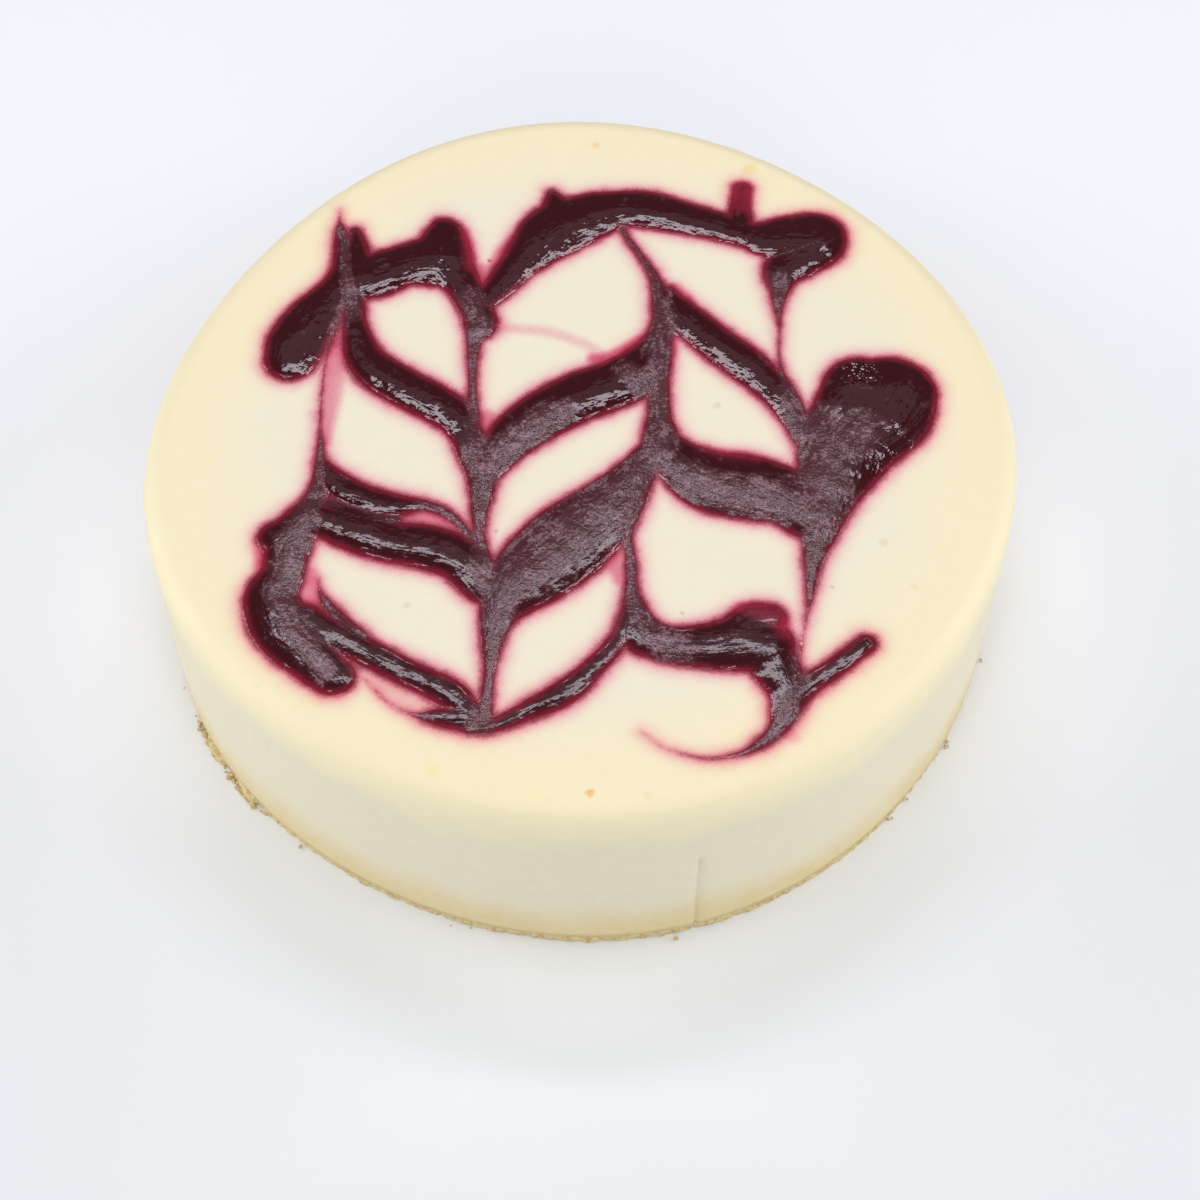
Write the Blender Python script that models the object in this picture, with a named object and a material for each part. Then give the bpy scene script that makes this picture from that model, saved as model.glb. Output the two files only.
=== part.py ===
"""A whole baked cheesecake: a tall filling with a feathered fruit swirl on top, on a thin biscuit base."""

import bmesh
import bpy
from math import atan2, ceil, cos, hypot, pi, radians, sin
from mathutils import Matrix

MM = 0.001

CAKE_RADIUS = 0.100
CAKE_HEIGHT = 0.059  # to the flat top of the filling
BASE_HEIGHT = 0.003
LAYER_GAP = 0.0003  # between the base and the filling
RIM_RADIUS = 0.006  # the rounded edge of the top
FOOT_TAPER = 0.001  # how much narrower the foot is than the rim

# How far the outline leaves a circle, as waves round the cake: order, cosine part, sine part.
OUTLINE_WAVES = (
    (1, 0.0, -0.0009),
    (2, -0.0010, 0.0004),
    (3, 0.0, -0.0009),
    (4, 0.0008, 0.0007),
)

SEAM_ANGLE = radians(284.7)  # an upright crease in the side, where the tin's lining met
SEAM_DEPTH = 0.0004
SEAM_HALF_WIDTH = 0.0009
SEAM_MIDDLE = 0.015
SEAM_TOP = 0.033
SEAM_END = 0.035  # where the side is smooth again

AROUND = 132  # steps round the cake
RIM_STEPS = 5

BASE_CRAG_DEPTH = 0.0004  # how rough the base's edge is
BASE_CRAGS = ((23, 0.35, 0.4), (37, 0.4, 1.3), (61, 0.25, 2.1))  # waves round it: order, share, twist
BASE_PROFILE = (  # the base's edge from the foot up: share of its height, how far in
    (0.0, 0.0004),
    (0.2, 0.0),
    (0.6, 0.0001),
    (0.9, 0.0001),
    (1.0, 0.0005),
)
CRUMB_CLUMPS = (  # where the base's edge stands out: angle, how far, half width of the clump
    (radians(210.5), 0.0014, 0.0050),
    (radians(218.5), 0.0012, 0.0040),
)

SWIRL_RISE = 0.0009  # of the jam above the filling, along the middle of a broad stroke
SWIRL_SINK = 0.0008  # of a stroke's underside below the filling's top
SWIRL_STEP = 0.0045  # between the stations along a stroke
SWIRL_CENTRE = (0.0, -0.0009)  # of the pattern on the top
BROAD_HALF_WIDTH = 0.004  # a stroke of this half width or more has the full rise
NARROW_SHARE = 0.45  # of the full rise, on a stroke as thin as a hair
LEAST_HALF_WIDTH = 0.00035
RISE_STEP = 0.012  # the strokes differ in height by steps of this share
RISE_STEPS = 9
STROKE_SECTION = (  # the rounded top of a stroke: share of its half width, share of its rise
    (1.0, 0.2),
    (0.72, 0.75),
    (0.0, 1.0),
    (-0.72, 0.75),
    (-1.0, 0.2),
)
END_TURNS = (radians(35), radians(65), radians(86))  # the stations that round off an end

SHORTEST_EDGE = 0.000005  # what is shorter after the union is closed up
SHARP_ANGLE = radians(35)

# Each stroke of the swirl: x, y and half width in millimetres at the few places that bend it.
STROKES = {
    "back_left_spike": ((-59.4, 68, 0.4), (-58, 64, 2.2), (-56, 59, 3.8), (-55, 46, 4.2)),
    "left_lobe": (
        (-56.5, 49, 3.6), (-59, 43, 5.2), (-63.5, 36, 7.2), (-66.4, 29, 8), (-67.6, 22.3, 7.6),
    ),
    "back_left_row": (
        (-55, 45, 4.5), (-50, 47.5, 7.2), (-43, 51, 7), (-36, 52, 8), (-30, 48.5, 6.2), (-26.5, 42, 5),
        (-24, 33, 4.3), (-25.2, 29, 2.5), (-25.9, 24, 1.3), (-25.8, 14, 0.9), (-25, 4, 1.4),
    ),
    "back_left_bump": ((-34, 54, 7.6), (-33.4, 60, 5.6), (-33.3, 63, 4.2)),
    "back_arch": (
        (-24, 36, 3), (-17, 50, 5.6), (-12, 57, 6.8), (-4.5, 64.5, 9.4), (3.5, 68.2, 8), (16, 69, 7.2),
        (24, 66.7, 6), (32, 64.2, 5.2), (44, 60.2, 6.4), (50, 59.4, 8), (56, 60.2, 8.5),
    ),
    "arch_tip": ((-6.5, 70, 4), (-7.3, 74.8, 1.8)),
    "back_stub": ((38, 65, 4), (38.7, 71, 2.9), (39.3, 76, 2.7)),
    "right_drag": (
        (57, 57, 6.6), (52, 53, 6.2), (48.4, 48.5, 4.8), (47.3, 43, 3.4), (46.5, 37, 1.8), (46.2, 31, 1.1),
        (46.6, 22, 0.9), (48.5, 12, 1.3), (50, 5, 2),
    ),
    "second_row_left": (
        (-55.5, 44, 4), (-54.7, 36, 3.4), (-53, 28.5, 3.9), (-50, 21.5, 4.9), (-44, 15.6, 5.6),
        (-31, 6.2, 5.5), (-27, 0.5, 4.4), (-24, -6, 4.6), (-22.5, -14, 3.6), (-22.8, -28, 1.6),
        (-20.5, -39, 2),
    ),
    "second_row_middle": (
        (-21.5, -12, 3.4), (-19.4, -7, 4.8), (-16, -1.5, 6.2), (-10.5, 4.2, 7.4), (-2, 10.2, 7.9),
        (7, 14.2, 7.7), (13.5, 19, 7.2), (17.3, 27, 3.8), (18.5, 34, 2.6), (17.3, 46, 1.7),
        (14.4, 53, 1.2), (10.6, 60, 1.6),
    ),
    "second_row_right": (
        (20.8, 42.8, 1.8), (22.7, 38.2, 3.4), (26, 32.8, 4.8), (31.2, 26.8, 5.6), (37.6, 20.4, 5.9),
        (43.4, 13.6, 5.1), (47.4, 6.3, 4.3), (50, -1, 3.4),
    ),
    "middle_drag": ((18.6, 30, 3), (17.9, 20, 2.6), (17.6, 5, 3.1), (17.9, -1, 4.4), (17, -7, 3.6)),
    "third_row_middle": (
        (17, -4, 3.5), (12, -12, 5), (5.5, -20.5, 7.6), (-2, -28.3, 9.8), (-8.3, -35.3, 9.6),
        (-13.8, -42, 7.6), (-17.4, -48, 5.2), (-18.8, -55, 3.2), (-19.6, -66, 1.5), (-20.5, -77, 2),
    ),
    "third_row_right": (
        (18, -2, 3.5), (22.5, -8.5, 6.4), (29, -13.8, 8.8), (37, -15.4, 9.8), (45, -17.6, 9), (51, -23, 7.6),
    ),
    "right_lobe": (
        (71, 11.8, 11.6), (66.5, 7.5, 13.2), (61.5, -1, 12.6), (57.5, -11, 9.8), (55.2, -20, 6.6),
        (53, -28, 4.5), (51.2, -36, 2.7), (49.7, -45, 1.6), (48.5, -55, 1.1), (47, -64, 1),
    ),
    "left_drag": (
        (-58.8, 30, 1.6), (-59.5, 15, 1), (-59.8, 3, 1), (-59.2, -8, 1.8), (-59.5, -16, 2.8),
        (-61, -24, 4),
    ),
    "third_row_upper": (
        (-58.5, -10, 2.2), (-55, -15, 4), (-49, -18.8, 4.4), (-42, -20.6, 3.8), (-36, -20.6, 2),
        (-30.5, -23, 1.5), (-26.5, -27, 1.4), (-23.5, -32, 1.4),
    ),
    "third_row_left": (
        (-60, -24, 4.5), (-52, -27.5, 6), (-43, -31, 6.5), (-34, -32.8, 6.8), (-27, -36, 6.4),
        (-21.5, -42.5, 5.2),
    ),
    "left_knob": ((-61, -26, 4.6), (-67.2, -29.6, 5.2)),
    "front_left_lobe": (
        (-60, -21.5, 3.4), (-63, -27, 5.5), (-64.3, -33, 5.9), (-65, -40, 6.3), (-65.7, -47, 7.7),
        (-62.5, -55, 7.8), (-57, -62, 6.6), (-51.8, -67.4, 4.8),
    ),
    "front_row_left": (
        (-60, -50, 5), (-53, -55.6, 4.3), (-45, -60.6, 4), (-36, -65.8, 3.9),
        (-28.5, -69.8, 4.1), (-23, -75, 3.2),
    ),
    "front_row_middle": (
        (-21, -78, 2.6), (-13, -75.5, 3.2), (-5, -71, 3.8), (2, -65.5, 4), (7, -59, 3.4), (10, -52, 2.6),
        (11.2, -44, 2), (10.4, -28, 1.6), (11.5, -18, 3),
    ),
    "front_row_right": (
        (11.3, -46, 2), (13.5, -53.5, 4.6), (19, -58.5, 5.2), (27, -58.5, 6.3), (35, -58, 7.8),
        (40.5, -57.8, 6.4),
    ),
    "front_wave": ((34.5, -55, 4.6), (40.6, -51.2, 4)),
    "front_hook": (
        (40, -58, 6), (43, -65, 4.9), (43.6, -71, 3.9), (42.6, -77, 3), (39.5, -82, 1.9), (34, -85.2, 1.1),
        (28, -86.2, 0.8), (20, -84.6, 0.6), (13, -80.5, 0.4),
    ),
    "front_stub": ((44.5, -72.5, 3.4), (50, -67.5, 2.9), (56, -62.8, 2.7), (61.2, -58.2, 2.6)),
    "front_crescent": ((-45, -69, 0.4), (-41, -73, 0.6), (-35, -76.6, 0.9), (-29, -77.4, 2), (-23, -77.3, 3)),
}


def clear_scene():
    for obj in list(bpy.data.objects):
        bpy.data.objects.remove(obj)


def make_material(name, colour, roughness):
    material = bpy.data.materials.new(name)
    material.use_nodes = True
    shader = material.node_tree.nodes["Principled BSDF"]
    shader.inputs["Base Color"].default_value = (*colour, 1.0)
    shader.inputs["Roughness"].default_value = roughness
    shader.inputs["Metallic"].default_value = 0.0
    return material


def make_object(name, bm, material=None):
    bmesh.ops.recalc_face_normals(bm, faces=bm.faces)
    mesh = bpy.data.meshes.new(name)
    bm.to_mesh(mesh)
    bm.free()
    if material:
        mesh.materials.append(material)
    obj = bpy.data.objects.new(name, mesh)
    bpy.context.scene.collection.objects.link(obj)
    return obj


def turned_solid(profile, steps):
    """Spins a profile of radius and height round the upright axis and closes it below and above."""
    bm = bmesh.new()
    points = [bm.verts.new((radius, 0.0, z)) for radius, z in profile]
    edges = [bm.edges.new(pair) for pair in zip(points, points[1:])]
    bmesh.ops.spin(
        bm, geom=points + edges, cent=(0, 0, 0), axis=(0, 0, 1), angle=2 * pi, steps=steps, use_merge=True
    )
    bmesh.ops.holes_fill(bm, edges=[edge for edge in bm.edges if edge.is_boundary])
    return bm


def outline_growth(angle):
    """How far the cake's uneven outline lies outside its circle."""
    growth = 0.0
    for order, cosine, sine in OUTLINE_WAVES:
        growth += cosine * cos(order * angle) + sine * sin(order * angle)
    return growth


def lean(z):
    """The side leans out a little from the foot up to the rim."""
    return -FOOT_TAPER * (1 - min(z / (CAKE_HEIGHT - RIM_RADIUS), 1.0))


def crease_angles():
    """The three columns of points nearest to the crease, and the angles that they are drawn to."""
    nearest = round(SEAM_ANGLE * AROUND / (2 * pi))
    half = SEAM_HALF_WIDTH / CAKE_RADIUS
    return {nearest - 1: SEAM_ANGLE - half, nearest: SEAM_ANGLE, nearest + 1: SEAM_ANGLE + half}


def make_filling(material):
    profile = [(CAKE_RADIUS, z) for z in (BASE_HEIGHT + LAYER_GAP, SEAM_MIDDLE, SEAM_TOP, SEAM_END)]
    for step in range(RIM_STEPS + 1):
        turn = 0.5 * pi * step / RIM_STEPS
        radius = CAKE_RADIUS - RIM_RADIUS * (1 - cos(turn))
        profile.append((radius, CAKE_HEIGHT - RIM_RADIUS * (1 - sin(turn))))
    bm = turned_solid(profile, AROUND)
    drawn = crease_angles()
    for vert in bm.verts:
        x, y, z = vert.co
        column = round(atan2(y, x) * AROUND / (2 * pi)) % AROUND
        angle = drawn.get(column, 2 * pi * column / AROUND)
        radius = hypot(x, y) + outline_growth(angle) + lean(z)
        if angle == SEAM_ANGLE and z < 0.5 * (SEAM_TOP + SEAM_END):
            radius -= SEAM_DEPTH
        vert.co = (radius * cos(angle), radius * sin(angle), z)
    return make_object("cheesecake", bm, material)


def base_edge(angle, level):
    """How far the base's rough edge and its clumps of crumbs stand out at a share of its height."""
    crags = sum(share * sin(order * angle + twist * level) for order, share, twist in BASE_CRAGS)
    reach = BASE_CRAG_DEPTH * (crags - 0.5)
    for centre, clump_reach, half in CRUMB_CLUMPS:
        along = (angle - centre) * CAKE_RADIUS / half
        reach += clump_reach * max(0.0, 1 - along * along)
    return reach


def make_base(material):
    profile = [(CAKE_RADIUS - inset, level * BASE_HEIGHT) for level, inset in BASE_PROFILE]
    bm = turned_solid(profile, 2 * AROUND)
    for vert in bm.verts:
        x, y, z = vert.co
        angle = atan2(y, x) % (2 * pi)
        radius = hypot(x, y) + outline_growth(angle) + lean(z) + base_edge(angle, z / BASE_HEIGHT)
        vert.co = (radius * cos(angle), radius * sin(angle), z)
    return make_object("biscuit_base", bm, material)


def between(before, start, end, after, t):
    """A smooth curve's value at the share t of the way from start to end."""
    return 0.5 * (
        2 * start
        + (end - before) * t
        + (2 * before - 5 * start + 4 * end - after) * t**2
        + (3 * start - before - 3 * end + after) * t**3
    )


def smooth_path(points):
    """A smooth curve through the points of a stroke, as stations about an even step apart, in metres."""
    first = [2 * a - b for a, b in zip(points[0], points[1])]
    last = [2 * a - b for a, b in zip(points[-1], points[-2])]
    ends = [first, *points, last]
    stations = []
    for before, start, end, after in zip(ends, ends[1:], ends[2:], ends[3:]):
        steps = max(1, ceil(hypot(end[0] - start[0], end[1] - start[1]) * MM / SWIRL_STEP))
        for step in range(steps):
            stations.append([between(*values, step / steps) for values in zip(before, start, end, after)])
    stations.append(points[-1])
    return [(x * MM, y * MM, max(half * MM, LEAST_HALF_WIDTH)) for x, y, half in stations]


def headings(stations):
    """The unit direction of a path at each of its stations."""
    found = []
    for before, after in zip([stations[0], *stations], [*stations[1:], stations[-1]]):
        length = hypot(after[0] - before[0], after[1] - before[1])
        found.append(((after[0] - before[0]) / length, (after[1] - before[1]) / length))
    return found


def with_round_ends(stations, ways):
    """Stations with the stroke's own half width there too, and more of them that round off both ends."""
    tail, tip = [], []
    for place, sign, cap in ((0, -1, tail), (-1, 1, tip)):
        x, y, half = stations[place]
        dx, dy = ways[place]
        for turn in END_TURNS:
            reach = sign * half * sin(turn)
            cap.append((x + dx * reach, y + dy * reach, half * cos(turn), half, (dx, dy)))
    middle = [(x, y, half, half, way) for (x, y, half), way in zip(stations, ways)]
    return tail[::-1] + middle + tip


def sweep(sections):
    """Extrudes a closed section from each place along a path to the next."""
    bm = bmesh.new()
    face = bm.faces.new([bm.verts.new(point) for point in sections[0]])
    for number, section in enumerate(sections[1:]):
        corners = {tuple(vert.co): corner for corner, vert in enumerate(face.verts)}
        made = bmesh.ops.extrude_face_region(bm, geom=[face])["geom"]
        if number:
            bmesh.ops.delete(bm, geom=[face], context="FACES_ONLY")
        face = next(item for item in made if isinstance(item, bmesh.types.BMFace))
        places = [section[corners[tuple(vert.co)]] for vert in face.verts]
        for vert, place in zip(face.verts, places):
            vert.co = place
    return bm


def make_stroke(name, points, full_rise):
    """One stroke of the swirl: a low rounded ribbon, sunk a little into the top."""
    stations = smooth_path(points)
    sections = []
    for x, y, half, body, (dx, dy) in with_round_ends(stations, headings(stations)):
        rise = full_rise * min(1.0, NARROW_SHARE + (1 - NARROW_SHARE) * body / BROAD_HALF_WIDTH)
        rise *= 1 - 0.5 * (1 - half / body)
        top = [(half * across, rise * up) for across, up in STROKE_SECTION]
        outline = [(half, -SWIRL_SINK), *top, (-half, -SWIRL_SINK)]
        x, y = x + SWIRL_CENTRE[0], y + SWIRL_CENTRE[1]
        sections.append([(x - dy * across, y + dx * across, CAKE_HEIGHT + up) for across, up in outline])
    return make_object(name, sweep(sections))


def join_strokes(filling):
    """One Boolean union of the filling with the whole collection of strokes."""
    strokes = bpy.data.collections.new("swirl_strokes")
    bpy.context.scene.collection.children.link(strokes)
    for number, (name, points) in enumerate(STROKES.items()):
        stroke = make_stroke(name, points, SWIRL_RISE * (1 - RISE_STEP * (number % RISE_STEPS)))
        bpy.context.scene.collection.objects.unlink(stroke)
        strokes.objects.link(stroke)
    union = filling.modifiers.new("swirl", "BOOLEAN")
    union.operation = "UNION"
    union.operand_type = "COLLECTION"
    union.collection = strokes
    union.solver = "EXACT"
    bpy.context.view_layer.update()
    evaluated = filling.evaluated_get(bpy.context.evaluated_depsgraph_get())
    joined = bpy.data.meshes.new_from_object(evaluated)
    filling.modifiers.clear()
    filling.data = joined
    for stroke in list(strokes.objects):
        bpy.data.objects.remove(stroke)
    bpy.data.collections.remove(strokes)


def tidy_mesh(obj):
    """Closes up hair-thin slivers, splits the faces into triangles and shades the round parts smooth."""
    bm = bmesh.new()
    bm.from_mesh(obj.data)
    bmesh.ops.remove_doubles(bm, verts=bm.verts, dist=SHORTEST_EDGE)
    bmesh.ops.dissolve_degenerate(bm, edges=bm.edges, dist=SHORTEST_EDGE)
    bmesh.ops.triangulate(bm, faces=bm.faces)
    bm.to_mesh(obj.data)
    bm.free()
    obj.data.shade_smooth()
    obj.data.set_sharp_from_angle(angle=SHARP_ANGLE)


def centre_on_axis(objects):
    """Moves the whole cake so that its box is centred over the origin."""
    points = [vertex.co for obj in objects for vertex in obj.data.vertices]
    shift_x = -0.5 * (min(p.x for p in points) + max(p.x for p in points))
    shift_y = -0.5 * (min(p.y for p in points) + max(p.y for p in points))
    for obj in objects:
        obj.data.transform(Matrix.Translation((shift_x, shift_y, 0.0)))


def main():
    clear_scene()
    cream = make_material("cream_filling", (0.86, 0.80, 0.62), 0.55)
    biscuit = make_material("biscuit_base", (0.62, 0.42, 0.18), 0.85)
    filling = make_filling(cream)
    join_strokes(filling)
    base = make_base(biscuit)
    tidy_mesh(filling)
    tidy_mesh(base)
    centre_on_axis([filling, base])


main()
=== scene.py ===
"""A whole baked cheesecake: a tall pale filling with a feathered fruit swirl, on a thin biscuit base."""

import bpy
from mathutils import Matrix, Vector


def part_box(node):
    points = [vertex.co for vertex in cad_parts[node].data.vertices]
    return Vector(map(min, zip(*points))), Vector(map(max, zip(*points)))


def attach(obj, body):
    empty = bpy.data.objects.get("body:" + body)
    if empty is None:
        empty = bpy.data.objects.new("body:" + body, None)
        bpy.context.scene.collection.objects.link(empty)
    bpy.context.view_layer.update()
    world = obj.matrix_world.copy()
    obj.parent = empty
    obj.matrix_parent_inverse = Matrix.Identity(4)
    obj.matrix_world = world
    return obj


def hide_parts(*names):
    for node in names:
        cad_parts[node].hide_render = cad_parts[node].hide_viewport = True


bl_info = {
    "name": "Baked Cheesecake",
    "version": (1, 0, 0),
    "blender": (4, 5, 0),
    "location": "3D View > Sidebar > Cheesecake",
    "description": "Builds the filling, the fruit swirl, the biscuit base, its crumbs and the studio",
    "category": "Add Mesh",
}

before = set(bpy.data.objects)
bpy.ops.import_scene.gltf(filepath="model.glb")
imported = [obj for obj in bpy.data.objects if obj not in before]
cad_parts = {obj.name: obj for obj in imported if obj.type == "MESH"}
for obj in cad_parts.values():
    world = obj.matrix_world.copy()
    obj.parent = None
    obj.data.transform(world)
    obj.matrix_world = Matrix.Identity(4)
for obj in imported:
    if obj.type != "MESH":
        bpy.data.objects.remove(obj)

from math import atan2, cos, hypot, pi, radians, sin, tan, tau

import bmesh
import bpy
import numpy as np
from bpy.props import FloatProperty, FloatVectorProperty, IntProperty, PointerProperty
from mathutils import Matrix, Vector, noise

MM = 0.001

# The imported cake's own measures.
FILLING_LOW, FILLING_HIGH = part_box("cheesecake")
_, BASE_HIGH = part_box("biscuit_base")
CAKE_RADIUS = 0.100
CAKE_HEIGHT = 0.059  # to the flat top of the filling
FOOT_TAPER = 0.001  # how much narrower the foot is than the rim

# How far the outline leaves a circle, as waves round the cake: order, cosine part, sine part.
OUTLINE_WAVES = (
    (1, 0.0, -0.0009),
    (2, -0.0010, 0.0004),
    (3, 0.0, -0.0009),
    (4, 0.0008, 0.0007),
)

SEAM_ANGLE = radians(284.7)  # an upright crease in the side, where the tin's lining met
SEAM_DEPTH = 0.0007
SEAM_HALF_WIDTH = 0.0007
SEAM_TOP = 0.034

FILLING_TURNS, FILLING_CUTS = 64, 7  # coarse steps round the filling, and the cuts in each
BASE_TURNS, BASE_CUTS = 90, 15
TOP_RINGS = 96
RIM_STEPS = 10
SIDE_STEPS = 34

SWIRL_CENTRE = (0.0, -0.0009)  # of the pattern, from the middle of the cake
BROAD_HALF_WIDTH = 0.008  # a stroke of this half width or more has the full rise
THICK_HALF_WIDTH = 0.004  # a stroke of this half width or more shows no grain of its own
THIN_HALF_WIDTH = 0.0016  # a thinner stroke stains less
THIN_FADES = 0.0011  # how much farther off the thinnest stroke's stain seems
LEAST_HALF_WIDTH = 0.0004  # of a stroke's tip
SEAM_BLUR = 0.0015  # how near its neighbour a stroke's streaks fade
STROKE_STEP = 0.001  # between the stations along a stroke
MELT = 0.0004  # how far strokes that meet run into each other
KNIFE_PULL = 1.3  # how strongly the middle of a knife's track is dragged
SWIRL_REACH = 0.094  # half the side of the square sheet that the jam is cut from
SLOPE_STEP = 0.00002  # over which the distance's slope is measured at the jam's edge
LEAST_SLOPE = 0.3  # the least slope squared that an edge point's move is worked out from
MOST_MOVE = 0.8  # of a mesh cell, in one move of an edge point
EDGE_SINKS = 0.00006  # how far the jam's edge lies under the filling's top
LUMPS_START = 0.0012  # how far inside the edge the jam's lumps reach their full height

# Slow and quick waves of a surface: height, how many to the metre, and where the noise is cut.
SWELL_WAVES = ((1.0, 38, 0.4), (0.5, 95, 3.1))
JAM_LUMPS = ((0.00010, 210, 1.7), (0.00004, 520, 5.2))

JUICE_REACH = 0.00105  # over which the juice in the filling fades
JUICE_AT_EDGE = 1.9  # how much juice there is at the jam's edge
JUICE_MOST = 3.4
JUICE_SPREAD = 0.0001  # how far outside the strokes' own edge the jam still looks solid
JUICE_WANDERS = 0.0012  # how far the juice's reach strays
JUICE_SPECKLES = 0.0007  # how far its specks stray
JUICE_TAKES = (0.16, 1.0, 0.64)  # of red, green and blue
WASH_SPECKLES = 1.2  # how uneven a wash is
WASH_HOLDS_BACK = 0.13  # how much of the jam's own edge a wash takes away
WASH_EDGE = 0.0028  # over which a wash fades at its edge
EDGE_STRAYS = 0.0016  # how ragged the jam's thin edge is
THIN_EDGE = (0.0010, -0.0006, 0.0, 0.60)  # the distances where thin jam starts and is full, and its cover
THICK_EDGE = (-0.0002, -0.0025, 0.0, 0.40)  # the same for the thicker jam behind it
FAR_OUT = 0.006  # the distance that is written where no stroke is near

# The filling's colours, by the way down from where the rim starts to round off.
RIM_YELLOWS = (-0.026, -0.002)
SIDE_PALES = (0.010, 0.021)
FOOT_YELLOWS = (0.042, 0.060)
RUN_STRAYS = 0.016  # how uneven these bands are
PALE_FLECKS = (0.93, 0.90, 0.78)

# How many grains there are to the metre.
CREAM_PATCHES = 60
CREAM_WAVES = 260
CREAM_GRAIN = 420
SPOT_EDGES = 1400
JUICE_STRAYS = 260
JUICE_GRAIN = 1700
JAM_PATCHES = 230
JAM_COARSE = 520
JAM_STREAKS = 650
JAM_GRIT = 1300
PAINTED_GLINT_GRAIN = 1500
BISCUIT_GRAIN = 900
TABLE_CLOUDS = 6

STREAK_STRETCH = (0.24, 1.0, 1.0)  # along the stroke, across it and between strokes
GLOSS_PLACES = (0.010, -0.060)  # the y where the jam is glossiest, and where it is dullest
GLOSS = (0.045, 0.12)  # its roughness at these
DRAGGED_ROUGHNESS = 0.17
LIP_INSIDE = 0.0011  # how far inside its edge the jam has a faint lip
# Painted highlight: the colour that the glints are painted in.
PAINTED_GLINT_COLOUR = (0.75, 0.62, 0.60)

# How deep the fine relief of each surface is.
CREAM_WAVE_DEPTH = 0.00012
CREAM_GRAIN_DEPTH = 0.00005
STREAK_DEPTH = 0.00013
COARSE_DEPTH = 0.00010
LIP_DEPTH = 0.00008
GRIT_DEPTH = 0.00010
BISCUIT_DEPTH = 0.0004

BASE_INSETS = (0.0004, 0.0001, 0.0, 0.0, 0.0, 0.0, 0.0001, 0.0003, 0.0006)  # of the base's edge, going up
BASE_CRAGS = Vector((420, 420, 500))  # to the metre, each way
BASE_GRAINS = Vector((1100, 1100, 1100))
CRAGS_SINK = 0.6  # how much of the crags lies inside the base's edge

# Clumps that stand out of the base: angle, how far out, half width, and the spread of the crumbs near it.
BASE_CLUMPS = (
    (radians(210.5), 0.0014, 0.0050, 0.045),
    (radians(218.5), 0.0012, 0.0040, 0.035),
)
LEAST_CRUMB = 0.0003
CRUMB_GROWTH = 0.0005
CRUMB_DRIFT = 0.0012  # how far from the base a crumb may lie

# The soft lights: name, place, width and height, the setting that holds the power, colour.
LIGHTS = (
    ("back_light", (0.0, 0.52, 1.10), (0.7, 0.13), "key_power", (0.97, 0.90, 1.0)),
    ("sheen_light", (0.0, 0.80, 1.08), (0.9, 0.26), "sheen_power", (1.0, 0.86, 0.96)),
    ("front_light", (0.0, -2.0, 1.6), (2.4, 1.6), "fill_power", (1.0, 0.99, 0.96)),
    ("top_light", (0.0, -0.5, 1.3), (0.8, 0.6), "top_power", (1.0, 0.99, 0.97)),
    ("side_light", (-1.5, 0.1, 0.7), (1.4, 0.8), "side_power", (1.0, 0.99, 0.97)),
    ("side_light", (1.5, 0.1, 0.7), (1.4, 0.8), "side_power", (1.0, 0.99, 0.97)),
)
ROOM_COLOUR = (0.93, 0.96, 1.0)
TABLE_REACH = 4.0
# Painted shade: the table's colour darkens from behind the cake towards the front, in place of light that
# falls off there.
TABLE_PAINTED_SHADE_SPAN = (-0.08, 0.26)  # from behind the cake to in front of it
TABLE_PAINTED_SHADE = 0.85  # of its colour, at the front
CAMERA_AIM = Vector((0.0042, -0.0069, 0.0))
SENSOR_WIDTH = 36.0

TINY = 1e-7

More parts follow.
